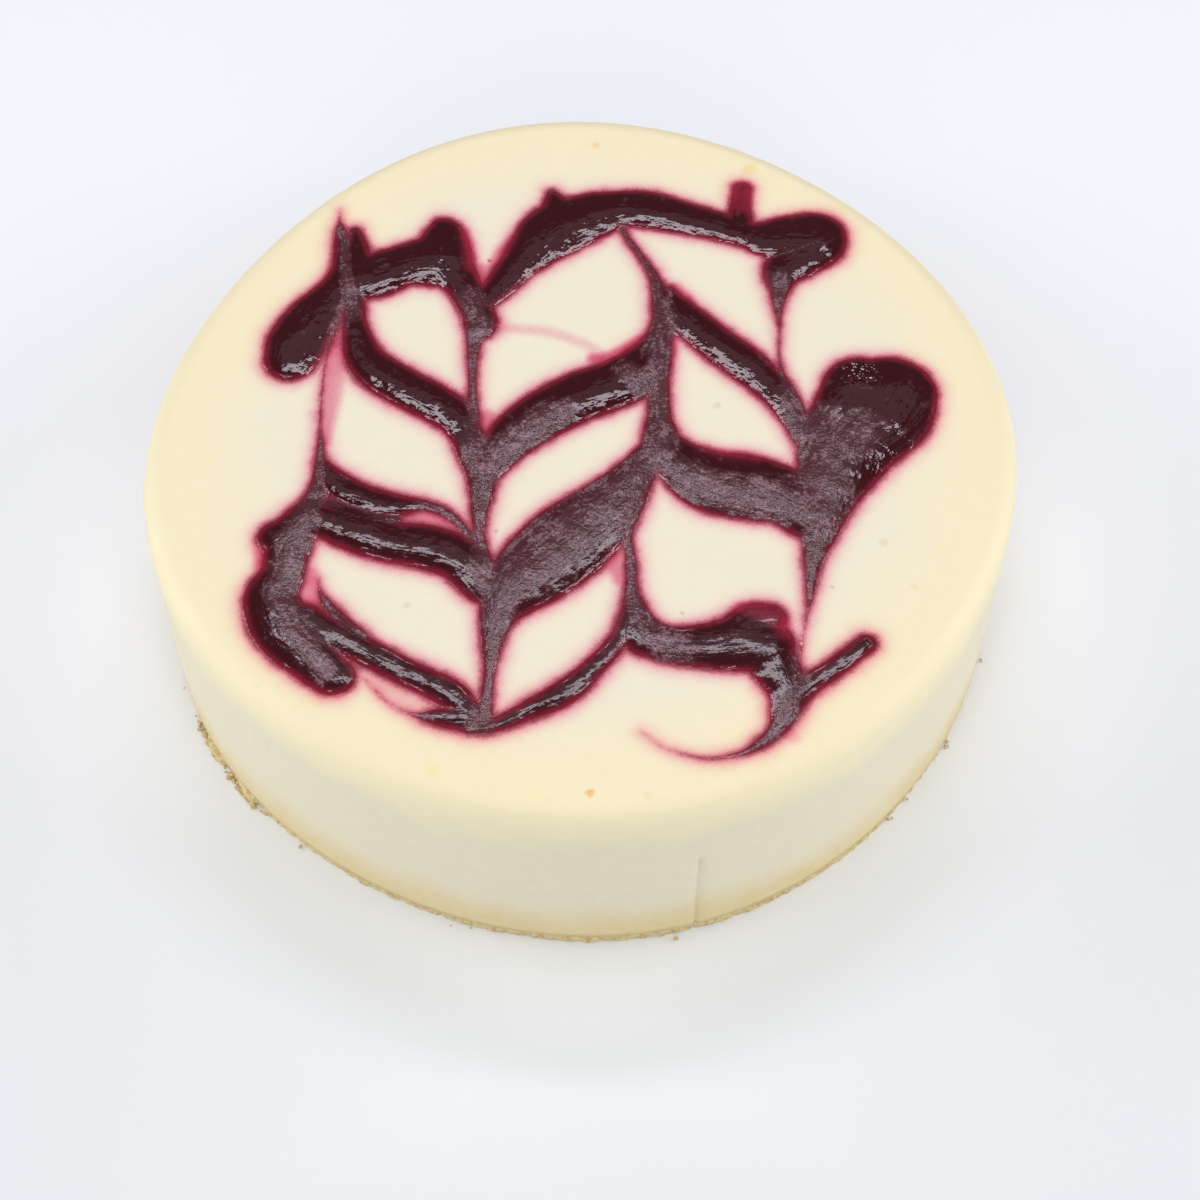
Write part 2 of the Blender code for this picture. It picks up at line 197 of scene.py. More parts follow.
# Each stroke of the swirl: x, y and half width in millimetres at the few places that bend it.
STROKES = {
    "back_left_spike": ((-59.5, 69, 0.3), (-59.2, 64.5, 1), (-58.2, 59, 2.3), (-57, 51, 3.4), (-55.5, 44, 4)),
    "back_left_shoulder": ((-55.4, 62, 1.7), (-54.9, 58, 2.9), (-54, 52, 4)),
    "left_lobe": (
        (-56.8, 50, 3.6), (-59, 44, 4.3), (-61.6, 39, 5.5), (-64.5, 33, 7.1), (-66.9, 27.2, 7.5),
        (-68.2, 21.6, 6.6),
    ),
    "back_left_row": (
        (-55, 45, 4.5), (-50, 47.5, 7.2), (-43, 51, 7), (-36, 52, 8), (-31.5, 49, 6), (-28, 43.5, 4.6),
        (-24.8, 36, 4.4), (-24, 32, 4.2), (-25, 29, 2.7), (-25.6, 24, 1.7), (-25.5, 14, 1.3), (-24.9, 4, 1.7),
    ),
    "back_left_bump": ((-34, 54, 7.6), (-33.6, 60, 5.5), (-34, 63.2, 3.5)),
    "back_arch": (
        (-24, 38, 2.6), (-21.3, 42.5, 3.9), (-18.3, 46.8, 4.6), (-15.3, 51.5, 5.2), (-11.8, 56.3, 6.7),
        (-6, 62.8, 8.8), (2.5, 67.4, 7.6), (8, 69.3, 6.3), (16, 69, 6.4), (24, 66.5, 5.6), (32, 64, 5),
        (40, 60.8, 4.6), (44.5, 59.6, 5.9), (50, 59.3, 7.9), (56, 60.1, 8.3),
    ),
    "arch_tip": ((-6.5, 70, 4), (-7.6, 74.6, 1.6)),
    "back_stub": ((38, 65, 3.6), (38.4, 71, 2.7), (39, 76, 2.6)),
    "right_drag": (
        (57, 57, 6.6), (52, 53, 6.2), (47.9, 49, 5.1), (46.9, 43, 2.7), (46.4, 37, 1.4), (46.4, 31, 0.8),
        (45.9, 22, 0.8), (47.2, 14, 1.3), (49.4, 6, 2),
    ),
    "second_row_left": (
        (-55.2, 44, 3.8), (-54.2, 36, 3), (-53, 28.5, 3.8), (-50.4, 21.3, 5.1), (-44.3, 15.3, 5.8),
        (-31, 6.2, 5.5), (-27, 0.5, 4.4), (-24, -6, 4.6), (-22.5, -14, 3.6), (-22.8, -28, 1.6),
        (-20.5, -39, 2),
    ),
    "second_row_middle": (
        (-21.5, -12, 3.4), (-19.4, -7, 4.8), (-16, -1.5, 6.2), (-10.3, 3.9, 7.1), (-1.8, 9.8, 7.5),
        (7, 13.9, 7.5), (13.6, 18.8, 6.9), (17.3, 27, 3.8), (18.5, 34, 2.6), (17.3, 46, 1.7),
        (14.4, 53, 1.2), (10.6, 60, 1.2), (9.4, 63.5, 1.2),
    ),
    "second_row_right": (
        (20.8, 42.8, 1.8), (22.7, 38.2, 3.4), (26, 32.8, 4.8), (31.3, 26.7, 5.3), (37.8, 20.4, 5.4),
        (43.7, 13.6, 4.6), (47.8, 6.3, 3.8), (50.5, -1, 3),
    ),
    "second_row_join": ((17.6, 46, 1.3), (18.9, 42, 2.2), (20.4, 36.5, 3.2), (23.5, 31.5, 3.2)),
    "middle_drag": ((18.6, 30, 3), (17.9, 20, 2.6), (17.6, 5, 3.1), (17.9, -1, 4.4), (17, -7, 3.6)),
    "third_row_middle": (
        (17, -4, 3.5), (12, -12, 5), (6, -21, 7.9), (-1.3, -29.1, 10.3), (-7.8, -36.1, 10.1),
        (-13.6, -42.6, 8), (-17.4, -48.5, 5.2), (-18.8, -55, 3.2), (-19.6, -66, 1.5), (-20.5, -77, 2),
    ),
    "third_row_right": (
        (18, -2, 3.5), (22.5, -8.5, 6.4), (29, -13.8, 8.8), (37, -15.6, 9.5), (45, -18, 8.4), (51, -23, 7.4),
    ),
    "right_lobe": (
        (71.2, 11.3, 11.3), (68, 6, 13.1), (62, -0.8, 12.5), (57.5, -11.5, 9.2), (54.9, -20, 6.4),
        (52.9, -28, 4.5), (51.2, -36, 2.4), (50, -45, 1.15), (48.3, -54, 0.65), (46.9, -62, 0.7),
    ),
    "right_lobe_shoulder": ((60.4, 8, 7.2), (63.8, 14.4, 7.7), (68, 12, 8.6)),
    "left_drag": (
        (-58.6, 31, 1.2), (-59.8, 22, 0.7), (-60.2, 12, 0.7), (-60, 3, 0.8), (-59.4, -6, 1.3),
        (-59.3, -12, 1.8), (-59.6, -18, 2.8), (-61.5, -24, 4),
    ),
    "third_row_upper": (
        (-58.5, -10, 2.2), (-55, -15.2, 4), (-49, -19, 4.3), (-42, -20.9, 3.7), (-36, -20.8, 2),
        (-30.5, -23, 1.5), (-26.5, -27, 1.4), (-23.5, -32, 1.4),
    ),
    "third_row_fill": ((-56.5, -20.5, 2.5), (-50, -23.6, 3), (-41.8, -25, 2.2)),
    "third_row_left": (
        (-60, -24, 4.3), (-52, -27.2, 5.7), (-43, -30.7, 6), (-34, -32.5, 6.3), (-27, -35.6, 6.1),
        (-21.5, -42.5, 5.2),
    ),
    "left_knob": ((-61.5, -26.3, 4.4), (-67.3, -29.7, 5)),
    "front_left_lobe": (
        (-60.5, -21.5, 3.2), (-63.5, -27, 5.2), (-65, -33, 5.4), (-65.8, -39.5, 5.3), (-67.6, -46.5, 6.5),
        (-64.3, -54.2, 7.2), (-58.2, -61.3, 6.3), (-53, -66.4, 5.1),
    ),
    "front_left_film": (
        (-57.9, -41, 0.5), (-57, -44.5, 0.9), (-55.2, -48, 1.5), (-52, -52, 2), (-47.5, -56.5, 2),
    ),
    "front_row_left": (
        (-60, -51.5, 4.4), (-53, -56.2, 4), (-45, -60.9, 3.7), (-36, -66.1, 3.6),
        (-28.5, -70.2, 3.8), (-23.5, -75.2, 3.2),
    ),
    "front_row_middle": (
        (-23, -79, 2.2), (-19, -78.9, 2.1), (-14.5, -76.8, 2.4), (-10, -74.3, 2.9), (-5.6, -72, 3.4),
        (-1.1, -68.4, 3.3), (3, -63.6, 2.8), (6.5, -59.4, 2.6), (9.2, -54, 2.3), (10.6, -49, 2),
        (11, -44, 1.8), (10.9, -36, 1.5), (10.1, -28, 1.4), (11.2, -20, 2),
    ),
    "front_row_right": (
        (11.3, -46, 2), (12.8, -54.7, 5.1), (19, -58.3, 5.1), (27, -58.6, 6.1), (35, -58, 7.5),
        (40, -58, 6.4),
    ),
    "front_wave": ((34, -55, 5), (37, -52.2, 4.9), (40.6, -51.6, 4.3)),
    "front_hook": (
        (39.5, -59, 6), (42.3, -65.5, 5.4), (43.8, -71, 4.1), (43.1, -76, 3.2), (41.2, -79.9, 2.1),
        (38, -83, 1.5), (34, -85.4, 1), (28, -86.7, 0.75), (22.5, -86, 0.55), (17.5, -84, 0.4),
        (13, -80.5, 0.3),
    ),
    "front_stub": ((44.5, -72.5, 3.4), (50, -67.5, 2.9), (56, -62.8, 2.7), (61.4, -58, 2.7)),
    "front_crescent": (
        (-46.5, -66.5, 0.3), (-44, -69.7, 0.4), (-40.5, -73.3, 0.5), (-35, -76, 0.9), (-30, -76.6, 2.4),
        (-25, -77, 3.6),
    ),
}

# Where thin juice or thin jam lies beside the strokes: how much, then x, y and half width in millimetres.
WASHES = {
    "beside_left_drag": (
        0.85, (-58.6, 31, 1.2), (-58, 24, 1.8), (-57.4, 14, 1.9), (-57.7, 5, 1.3), (-58.3, -3, 0.6),
    ),
    "left_of_left_drag": (0.4, (-62, 5.6, 0.8), (-61.2, 3.6, 0.9)),
    "old_drag": (0.45, (-18, 31.2, 1.4), (-8, 30, 1.3), (0, 26.5, 1.2), (4, 23.5, 1.2)),
    "middle_row_blot": (1.9, (2.6, 22, 1.2), (5, 22, 1.4)),
    "middle_row_edge": (1.7, (6, 22.6, 0.8), (10.5, 25.2, 1), (14, 28.2, 0.8)),
    "right_row_start": (1.2, (22, 44, 0.8), (25, 40.8, 1)),
    "back_notch": (1.1, (-24.4, 50.5, 1), (-24.2, 46.5, 1.6)),
    "beside_arch": (0.9, (-22, 50.5, 1), (-19.2, 55.5, 1.5), (-16.6, 60.5, 1.2)),
    "middle_notch": (0.9, (-22, 4.5, 2), (-22.6, -0.5, 2)),
    "island": (0.8, (-38, -24, 1.5), (-33, -24.4, 1.6), (-29.5, -26, 1)),
    "left_pool": (0.9, (-59, -39, 1), (-59, -44, 1.7), (-58.8, -47.5, 1.3)),
    "third_notch": (1.0, (7.6, -32, 1), (6.8, -36, 1.6), (8, -41, 0.9)),
    "front_pool": (0.3, (-44.5, -67.8, 1), (-41, -70.6, 1.5), (-36, -73.6, 1.6)),
    "front_mark": (0.5, (43.8, -80.4, 0.9), (45, -82, 0.7)),
    "second_notch": (0.9, (20.9, 26.5, 1.2), (21, 22, 0.9)),
    "stub": (2.4, (38.6, 69.5, 1.6), (39, 76, 2.2)),
    "bump_side": (2.0, (-29, 62, 0.9), (-27.9, 56, 1.2), (-27.4, 50, 1.1)),
    "wave_top": (2.3, (35, -49, 1.4), (39, -49.8, 2.2), (42.4, -52, 2.2), (43.6, -56, 1.2)),
    "knob_foot": (1.2, (-71.2, -33.5, 1), (-70.6, -37.5, 1.2)),
    "third_row_red": (0.9, (27, -5.5, 0.8), (33, -6.6, 1.6), (39, -8, 1.3)),
}

# Where the knife was drawn through the jam, which left it grainy: x, y and half width in millimetres.
KNIFE_TRACKS = {
    "first": ((-58, 60, 1.5), (-56.5, 46, 2.5), (-55.5, 38, 3.5), (-58.5, 25, 2.5), (-60, -6, 2.5)),
    "first_front": ((-60, -6, 2.5), (-62, -24, 5.4), (-65, -44, 5.8), (-55, -66, 4)),
    "second": ((-26, 41, 4), (-24.5, 30, 5), (-25.8, 14, 2.4), (-24.5, 2, 3), (-23, -12, 8), (-22.5, -26, 4)),
    "second_branch": ((-20, -10, 5), (-12, 0, 7), (-4, 6, 5)),
    "second_front": ((-22.5, -26, 4), (-18, -44, 9), (-20, -64, 3), (-21, -80, 5)),
    "third": ((11, 62, 3), (17, 44, 3), (19, 26, 6), (18, 0, 7), (11, -24, 4), (10.8, -44, 3), (20, -60, 8)),
    "third_branch": ((16, 12, 6), (10, 18, 4)),
    "third_row": ((14, -8, 7), (5, -19, 10), (-4, -29, 12), (-12, -38, 11)),
    "third_row_right": ((23, -13, 7), (33, -18, 9.5), (42, -20.5, 9.5), (50, -24, 7)),
    "fourth": (
        (47, 46, 3.5), (46.4, 24, 2), (50, 2, 6), (54, -16, 11), (50, -40, 3.5), (47, -66, 3),
        (43, -76, 4),
    ),
    "lobe": ((52, 4, 7), (60, -3, 9), (64, 2, 6)),
}

# Marks on the top: x and y in millimetres, radius in millimetres, colour, strength.
MARKS = (
    (41, 83, 2.6, (0.86, 0.66, 0.26), 0.55),
    (3, 91, 1.5, (0.84, 0.60, 0.22), 0.6),
    (2, -95, 1.4, (0.85, 0.45, 0.12), 0.75),
    (-70, -69, 1.6, (0.60, 0.56, 0.26), 0.5),
    (31, -97, 1.1, (0.60, 0.52, 0.25), 0.5),
    (31, 8, 1.5, (0.60, 0.55, 0.42), 0.45),
    (-38, -48, 1.2, (0.60, 0.56, 0.44), 0.4),
    (67, -31, 1.5, (0.62, 0.58, 0.42), 0.4),
    (55, -43, 0.8, (0.55, 0.45, 0.34), 0.5),
    (73, -43, 1.3, (0.82, 0.66, 0.44), 0.45),
    (-19, -28, 0.7, (0.45, 0.38, 0.30), 0.5),
    (-22.5, 52.5, 0.7, (0.50, 0.08, 0.09), 0.8),
    (22, -50, 0.7, (0.45, 0.34, 0.28), 0.5),
    (-31, -89.5, 2.4, (0.88, 0.78, 0.38), 0.6),
    (-10, -95, 2.0, (0.90, 0.82, 0.46), 0.6),
    (-58, -73, 2.2, (0.88, 0.78, 0.40), 0.5),
    (14, -95.5, 1.5, (0.72, 0.68, 0.34), 0.4),
)

# Painted highlight: fine bright glints, painted into the jam's colour within this spot.
PAINTED_GLINT_SPOT = (64.5, 17.0, 5.5)  # where fine bright glints lie in the jam: x, y and radius in millimetres


def length_setting(name, default, description):
    return FloatProperty(name=name, description=description, default=default, unit="LENGTH")


def power_setting(name, default, description):
    return FloatProperty(name=name, description=description, default=default, unit="POWER")


def colour_setting(name, default, description):
    return FloatVectorProperty(name=name, description=description, default=default, subtype="COLOR")


class FillingSettings(bpy.types.PropertyGroup):
    height: length_setting("Height", CAKE_HEIGHT, "Height of the filling's flat top above the table")
    rim_radius: length_setting("Rim radius", 0.006, "Rounding of the top's edge")
    swell: length_setting("Swell", 0.00018, "How far the top rises and sinks in its slow waves")
    top_colour: colour_setting("Top", (0.84, 0.79, 0.62), "Colour of the middle of the top")
    rim_colour: colour_setting("Rim", (0.89, 0.805, 0.54), "Colour that the oven gave the rim")
    side_colour: colour_setting("Side", (0.80, 0.735, 0.55), "Colour of the side")
    foot_colour: colour_setting("Foot", (0.74, 0.60, 0.30), "Colour of the side's foot")


class SwirlSettings(bpy.types.PropertyGroup):
    rise: length_setting("Rise", 0.0011, "Height of a broad stroke above the filling")
    sink: length_setting("Sink", 0.0006, "How deep the jam's underside lies in the filling")
    cell: length_setting("Cell", 0.0005, "Side of a mesh cell in the jam's surface")
    deep_colour: colour_setting("Deep jam", (0.038, 0.0028, 0.0052), "Colour where the jam is thick")
    drag_colour: colour_setting("Dragged jam", (0.085, 0.023, 0.031), "Colour where the knife was drawn")
    # Pale grains: partly filling dragged into the jam, partly a painted sheen of light on its wet grain.
    grit_and_sheen_colour: colour_setting("Grit", (0.195, 0.100, 0.125), "Colour of the pale grains there")


class BaseSettings(bpy.types.PropertyGroup):
    height: length_setting("Height", BASE_HIGH.z, "Height of the biscuit base")
    crag_depth: length_setting("Crag depth", 0.0005, "How rough the base's edge is")
    light_colour: colour_setting("Biscuit", (0.73, 0.59, 0.32), "Colour of the biscuit")
    dark_colour: colour_setting("Browned biscuit", (0.48, 0.34, 0.15), "Colour of its browner grains")
    crumbs: IntProperty(name="Crumbs", description="How many crumbs lie at the foot", default=170, min=1)


class StudioSettings(bpy.types.PropertyGroup):
    floor_colour: colour_setting("Floor", (0.885, 0.915, 0.96), "Colour of the table")
    key_power: power_setting("Back light", 2.9, "Power of the soft light high behind the cake")
    sheen_power: power_setting("Sheen light", 0.4, "Power of the fainter light below it")
    fill_power: power_setting("Front light", 27.0, "Power of the soft light in front")
    top_power: power_setting("Top light", 2.9, "Power of the soft light overhead")
    side_power: power_setting("Side lights", 14.0, "Power of the soft light on either side")
    surround: FloatProperty(name="Surround", description="Brightness of the room", default=0.16)
    lens: FloatProperty(name="Lens", description="Focal length of the camera", default=75.0, unit="CAMERA")
    elevation: FloatProperty(
        name="Elevation", description="How far the camera looks down", default=radians(55.5), subtype="ANGLE"
    )
    distance: length_setting("Distance", 0.617, "From the camera to what it looks at")


def outline_growth(angle):
    """How far the cake's uneven outline lies outside its circle."""
    growth = 0.0
    for order, cosine, sine in OUTLINE_WAVES:
        growth += cosine * cos(order * angle) + sine * sin(order * angle)
    return growth


def cake_middle():
    """Where the middle of the outline's circle lies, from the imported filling's box."""
    edge = [(CAKE_RADIUS + outline_growth(tau * k / 360), tau * k / 360) for k in range(360)]
    far_x = max(radius * cos(angle) for radius, angle in edge)
    far_y = max(radius * sin(angle) for radius, angle in edge)
    return Vector((FILLING_HIGH.x - far_x, FILLING_HIGH.y - far_y, 0.0))


MIDDLE = cake_middle()


def between(before, start, end, after, t):
    """A smooth curve's value at the share t of the way from start to end."""
    return 0.5 * (
        2 * start
        + (end - before) * t
        + (2 * before - 5 * start + 4 * end - after) * t**2
        + (3 * start - before - 3 * end + after) * t**3
    )


def stations_along(points):
    """A smooth curve through the points of a stroke, as an array of x, y and half width in metres."""
    first = [2 * a - b for a, b in zip(points[0], points[1])]
    last = [2 * a - b for a, b in zip(points[-1], points[-2])]
    ends = [first, *points, last]
    stations = []
    for before, start, end, after in zip(ends, ends[1:], ends[2:], ends[3:]):
        steps = max(1, round(hypot(end[0] - start[0], end[1] - start[1]) * MM / STROKE_STEP))
        for step in range(steps):
            stations.append([between(*values, step / steps) for values in zip(before, start, end, after)])
    stations.append(points[-1])
    stations = np.array(stations) * MM
    stations[:, 0] += SWIRL_CENTRE[0] + MIDDLE.x
    stations[:, 1] += SWIRL_CENTRE[1] + MIDDLE.y
    stations[:, 2] = np.maximum(stations[:, 2], LEAST_HALF_WIDTH)
    return stations


def reach_of(places, stations):
    """For each place: how far outside the stroke it is, how far across it, the stroke's half width there,
    and the place along and across the stroke in metres."""
    outside = np.full(len(places), 1.0)
    gap_there = np.ones(len(places))
    half_there = np.ones(len(places))
    along_there = np.zeros(len(places))
    side_there = np.zeros(len(places))
    gone = 0.0
    for start, end in zip(stations, stations[1:]):
        way = end[:2] - start[:2]
        length = hypot(*way)
        margin = FAR_OUT + max(start[2], end[2])
        low, high = np.minimum(start[:2], end[:2]) - margin, np.maximum(start[:2], end[:2]) + margin
        some = np.flatnonzero(((places > low) & (places < high)).all(1))
        offset = places[some] - start[:2]
        share = np.clip(offset @ way / (way @ way), 0.0, 1.0)
        gap = np.hypot(*(offset - share[:, None] * way).T)
        half = start[2] + share * (end[2] - start[2])
        closer = gap - half < outside[some]
        chosen = some[closer]
        outside[chosen] = (gap - half)[closer]
        gap_there[chosen], half_there[chosen] = gap[closer], half[closer]
        along_there[chosen] = gone + share[closer] * length
        side_there[chosen] = (offset[closer] @ (-way[1], way[0])) / length
        gone += length
    return outside, gap_there / half_there, half_there, along_there, side_there


def near(places, stations):
    """The numbers of the places that a stroke may reach."""
    margin = stations[:, 2].max() + FAR_OUT
    low, high = stations[:, :2].min(0) - margin, stations[:, :2].max(0) + margin
    return np.flatnonzero(((places > low) & (places < high)).all(1))


def swirl_at(places, rise):
    """The swirl at each place: distance outside it, height of the jam, the distance that its stain follows,
    thickness of the jam, how dragged it is, how freely its streaks run, and the place along and across the
    stroke that holds it."""
    mixed = np.full(len(places), np.exp(-FAR_OUT / MELT))
    stains = np.full(len(places), np.exp(-FAR_OUT / MELT))
    weights = np.full(len(places), 1e-9)
    deepest = np.full(len(places), 1.0)
    second = np.full(len(places), 1.0)
    flow = np.zeros((len(places), 3))
    height = np.zeros(len(places))
    thickness = np.zeros(len(places))
    for number, points in enumerate(STROKES.values()):
        stations = stations_along(points)
        some = near(places, stations)
        outside, across, half, along, side = reach_of(places[some], stations)
        second[some] = np.minimum(second[some], np.maximum(outside, deepest[some]))
        holds = outside < deepest[some]
        chosen = some[holds]
        deepest[chosen] = outside[holds]
        flow[chosen] = np.stack([along[holds], side[holds], np.full(len(chosen), 0.1 * number)], 1)
        mixed[some] += np.exp(-np.maximum(outside, -FAR_OUT) / MELT)
        dome = np.clip(1 - across**2, 0.0, 1.0)
        share = np.minimum(1.0, half / BROAD_HALF_WIDTH)
        height[some] += (1000 * rise * share * dome) ** 4
        full = np.minimum(1.0, half / THIN_HALF_WIDTH)
        fainter = THIN_FADES * (1 - full * full * (3 - 2 * full))
        stains[some] += np.exp(-np.maximum(outside + fainter, -FAR_OUT) / MELT)
        weight = np.exp(-np.clip(outside, -FAR_OUT, FAR_OUT) / MELT)
        weights[some] += weight
        thickness[some] += weight * np.minimum(1.0, half / THICK_HALF_WIDTH)
    dragged = np.zeros(len(places))
    for points in KNIFE_TRACKS.values():
        stations = stations_along(points)
        some = near(places, stations)
        across = reach_of(places[some], stations)[1]
        dragged[some] = np.maximum(dragged[some], np.clip(KNIFE_PULL * (1 - across), 0.0, 1.0))
    streaked = np.clip((second - deepest) / SEAM_BLUR, 0.0, 1.0)
    thickness /= weights
    distance, stain = -MELT * np.log(mixed), -MELT * np.log(stains)
    return distance, height**0.25 / 1000, stain, thickness, dragged, streaked, flow


def wash_at(places):
    """How much thin juice or thin jam there is at each place, besides the strokes' own."""
    amount = np.zeros(len(places))
    for most, *points in WASHES.values():
        stations = stations_along(points)
        some = near(places, stations)
        outside = reach_of(places[some], stations)[0]
        share = np.clip(0.5 - outside / WASH_EDGE, 0.0, 1.0)
        amount[some] = np.maximum(amount[some], most * share * share * (3 - 2 * share))
    return amount


def waves_at(x, y, waves):
    """The height of a surface's waves at a place."""
    return sum(height * noise.noise(Vector((x * often, y * often, cut))) for height, often, cut in waves)


def swell_at(x, y, swell):
    """The slow waves of the filling's top, which die away towards the rim."""
    calm = max(0.0, 1 - (hypot(x, y) / (0.93 * CAKE_RADIUS)) ** 6)
    return swell * calm * waves_at(x, y, SWELL_WAVES)


def even_angle(x, y, turns):
    """The angle of a point on the straight side of a polygon, as if the side were an arc evenly cut."""
    step = tau / turns
    angle = atan2(y, x) % tau
    corner = step * (angle // step)
    share = 0.5 + 0.5 * tan(angle - corner - 0.5 * step) / tan(0.5 * step)
    return corner + share * step


def turned(profile, turns, cuts):
    """Spins a half section of radius, height and run round the upright axis, closed above and below.
    Each point keeps its radius and its run in layers of the mesh."""
    bm = bmesh.new()
    radii = bm.verts.layers.float.new("turned_radius")
    runs = bm.verts.layers.float.new("rim_run")
    points = []
    for radius, z, run in profile:
        point = bm.verts.new((radius, 0.0, z))
        point[radii], point[runs] = radius, run
        points.append(point)
    edges = [bm.edges.new(pair) for pair in zip(points, points[1:])]
    bmesh.ops.spin(
        bm, geom=points + edges, cent=(0, 0, 0), axis=(0, 0, 1), angle=tau, steps=turns, use_merge=True
    )
    hoops = [edge for edge in bm.edges if abs(edge.verts[0].co.z - edge.verts[1].co.z) < TINY
             and abs(edge.verts[0][radii] - edge.verts[1][radii]) < TINY]
    bmesh.ops.subdivide_edges(bm, edges=hoops, cuts=cuts, use_grid_fill=True)
    bmesh.ops.holes_fill(bm, edges=[edge for edge in bm.edges if edge.is_boundary])
    return bm, radii


def write_values(mesh, name, values):
    attribute = mesh.attributes.new(name, "FLOAT", "POINT")
    attribute.data.foreach_set("value", np.asarray(values, np.float32))


def finish_piece(name, bm, material, node):
    """Makes the piece's object, smooth and at the origin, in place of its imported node."""
    bmesh.ops.recalc_face_normals(bm, faces=bm.faces)
    mesh = bpy.data.meshes.new(name)
    bm.to_mesh(mesh)
    bm.free()
    mesh.materials.append(material)
    mesh.shade_smooth()
    piece = bpy.data.objects.new(name, mesh)
    bpy.context.scene.collection.objects.link(piece)
    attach(piece, "root")
    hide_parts(node)
    return piece


def new_material(name, roughness):
    material = bpy.data.materials.new(name)
    material.use_nodes = True
    shader = material.node_tree.nodes["Principled BSDF"]
    shader.inputs["Roughness"].default_value = roughness
    return material, material.node_tree, shader


def add_node(tree, kind, **settings):
    node = tree.nodes.new(kind)
    for name, value in settings.items():
        setattr(node, name, value)
    return node


def attribute_value(tree, name):
    node = add_node(tree, "ShaderNodeAttribute", attribute_type="GEOMETRY", attribute_name=name)
    return node.outputs["Fac"]


def object_place(tree):
    """The place of each point of the surface, in metres."""
    return add_node(tree, "ShaderNodeTexCoord").outputs["Object"]


def upright_y(tree):
    """How far back each point of the surface lies."""
    node = add_node(tree, "ShaderNodeSeparateXYZ")
    tree.links.new(object_place(tree), node.inputs["Vector"])
    return node.outputs["Y"]


def as_colour(value):
    """A socket as it is, or three numbers as a colour without any see-through."""
    return value if isinstance(value, bpy.types.NodeSocket) else (*value, 1.0)


def math(tree, operation, first, second=None, clamp=False):
    node = add_node(tree, "ShaderNodeMath", operation=operation, use_clamp=clamp)
    for socket, value in zip(node.inputs, (first, second)):
        plug(tree, value, socket)
    return node.outputs["Value"]


def plug(tree, value, socket):
    """Links a socket to another, or sets its value."""
    if isinstance(value, bpy.types.NodeSocket):
        tree.links.new(value, socket)
    elif value is not None:
        socket.default_value = value


def ramp(tree, value, low, high, out_low=0.0, out_high=1.0):
    """A smooth step of a value from out_low at low to out_high at high."""
    node = add_node(tree, "ShaderNodeMapRange", interpolation_type="SMOOTHSTEP")
    for socket, given in zip(node.inputs, (value, low, high, out_low, out_high)):
        plug(tree, given, socket)
    return node.outputs["Result"]


def blend(tree, share, first, second, kind="MIX"):
    """A colour mixed from two."""
    node = add_node(tree, "ShaderNodeMix", data_type="RGBA", blend_type=kind)
    plug(tree, share, node.inputs[0])
    plug(tree, share, node.inputs[0])
    plug(tree, as_colour(first), node.inputs[6])
    plug(tree, as_colour(second), node.inputs[7])
    return node.outputs[2]


def grain(tree, scale, detail=3.0, roughness=0.5, vector=None):
    """Noise over the cake, at a scale per metre."""
    node = add_node(tree, "ShaderNodeTexNoise")
    plug(tree, vector or object_place(tree), node.inputs["Vector"])
    node.inputs["Scale"].default_value = scale
    node.inputs["Detail"].default_value = detail
    node.inputs["Roughness"].default_value = roughness
    return node.outputs["Fac"]


def from_middle(tree, value, amount):
    """How far a noise lies from its middle, times an amount."""
    return math(tree, "MULTIPLY", math(tree, "SUBTRACT", value, 0.5), amount)


def bump(tree, height, distance, strength=1.0, normal=None):
    node = add_node(tree, "ShaderNodeBump")
    node.inputs["Distance"].default_value = distance
    plug(tree, strength, node.inputs["Strength"])
    plug(tree, height, node.inputs["Height"])
    plug(tree, normal, node.inputs["Normal"])
    return node.outputs["Normal"]


def on_top(x, y):
    """The place on the filling's top of a point of the pattern, given in millimetres."""
    return x * MM + SWIRL_CENTRE[0] + MIDDLE.x, y * MM + SWIRL_CENTRE[1] + MIDDLE.y, CAKE_HEIGHT


def spot_group():
    """A round soft spot with an uneven edge: its mask at a place on the top."""
    made_before = bpy.data.node_groups.get("soft_spot")
    if made_before:
        return made_before
    tree = bpy.data.node_groups.new("soft_spot", "ShaderNodeTree")
    for name, kind in (("Vector", "Vector"), ("Centre", "Vector"), ("Radius", "Float")):
        tree.interface.new_socket(name, in_out="INPUT", socket_type="NodeSocket" + kind)
    tree.interface.new_socket("Mask", in_out="OUTPUT", socket_type="NodeSocketFloat")
    given = tree.nodes.new("NodeGroupInput")
    made = tree.nodes.new("NodeGroupOutput")
    offset = add_node(tree, "ShaderNodeVectorMath", operation="SUBTRACT")
    tree.links.new(given.outputs["Vector"], offset.inputs[0])
    tree.links.new(given.outputs["Centre"], offset.inputs[1])
    length = add_node(tree, "ShaderNodeVectorMath", operation="LENGTH")
    tree.links.new(offset.outputs["Vector"], length.inputs[0])
    uneven = grain(tree, SPOT_EDGES, detail=2.0, vector=given.outputs["Vector"])
    share = math(tree, "DIVIDE", length.outputs["Value"], given.outputs["Radius"])
    share = math(tree, "ADD", share, from_middle(tree, uneven, 0.9))
    tree.links.new(ramp(tree, share, 1.0, 0.3), made.inputs["Mask"])
    return tree


def soft_spot(tree, x, y, radius):
    """The mask of a soft spot on the top, given in millimetres."""
    spot = add_node(tree, "ShaderNodeGroup", node_tree=spot_group())
    tree.links.new(object_place(tree), spot.inputs["Vector"])
    spot.inputs["Centre"].default_value = on_top(x, y)
    spot.inputs["Radius"].default_value = radius * MM
    return spot.outputs["Mask"]


